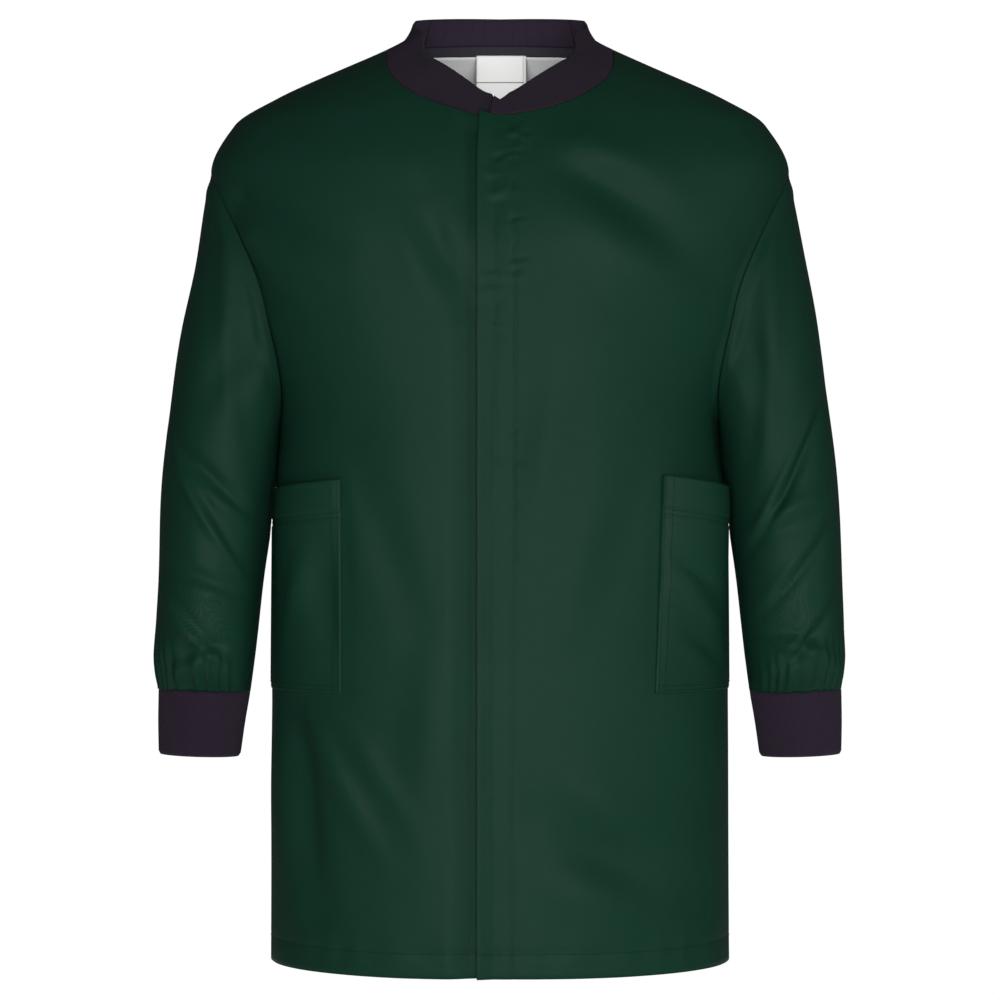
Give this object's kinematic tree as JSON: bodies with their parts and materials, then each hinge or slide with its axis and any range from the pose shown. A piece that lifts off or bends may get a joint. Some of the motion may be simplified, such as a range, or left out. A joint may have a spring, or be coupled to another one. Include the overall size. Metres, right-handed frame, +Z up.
{
  "type": "child's coat overall",
  "caption": "Child's hip-length woven coat overall with rib-knit neckband and cuffs, concealed hook-and-loop front and two patch pockets.",
  "frame": {"origin": "midway between the two neck points, where the shoulder seams meet the neckband", "axes": "+Z up the body, -Y the way the wearer faces, +X to the wearer's left"},
  "size_m": [0.532, 0.217, 0.7293],
  "materials": {
    "twill": "satin",
    "rib_knit": "matte",
    "lining": "matte",
    "label": "satin",
    "closure_tape": "matte",
    "thread": "satin"
  },
  "bodies": {
    "torso": {"back_panel": "twill", "left_front_side": "twill", "right_front_side": "twill", "left_pocket": "twill", "right_pocket": "twill", "neckband_back": "rib_knit", "neck_tape": "rib_knit", "back_neck_lining": "lining"},
    "left_front": {"left_front_flap": "twill", "left_front_facing": "twill", "neckband_left_end": "rib_knit", "loop_patch_1": "closure_tape", "loop_patch_2": "closure_tape", "loop_patch_3": "closure_tape", "loop_patch_4": "closure_tape"},
    "right_front": {"right_front_flap": "twill", "right_front_facing": "twill", "neckband_right_end": "rib_knit", "hook_patch_1": "closure_tape", "hook_patch_2": "closure_tape", "hook_patch_3": "closure_tape", "hook_patch_4": "closure_tape"},
    "left_sleeve": {"left_sleeve": "twill", "left_cuff": "rib_knit"},
    "right_sleeve": {"right_sleeve": "twill", "right_cuff": "rib_knit"},
    "neck_labels": {"neck_label": "label", "size_label": "label"}
  },
  "joints": [
    {"name": "left_front_open", "type": "hinge", "parent": "torso", "child": "left_front", "pos_m": [0.088, -0.11, -0.4], "axis": [0, 0.02, 0.9998], "range_deg": [0, 110]},
    {"name": "right_front_open", "type": "hinge", "parent": "torso", "child": "right_front", "pos_m": [-0.088, -0.11, -0.4], "axis": [0, -0.02, -0.9998], "range_deg": [0, 75]},
    {"name": "left_sleeve_lift", "type": "hinge", "parent": "torso", "child": "left_sleeve", "pos_m": [0.218, 0, -0.09], "axis": [0, -1, 0], "range_deg": [0, 70]},
    {"name": "right_sleeve_lift", "type": "hinge", "parent": "torso", "child": "right_sleeve", "pos_m": [-0.218, 0, -0.09], "axis": [0, 1, 0], "range_deg": [0, 70]},
    {"name": "label_lift", "type": "hinge", "parent": "torso", "child": "neck_labels", "pos_m": [0, 0.0475, 0.0056], "axis": [-1, 0, 0], "range_deg": [0, 80]}
  ],
  "couplings": [
    {"joint": "right_front_open", "follows": "left_front_open", "ratio": 0.65}
  ]
}
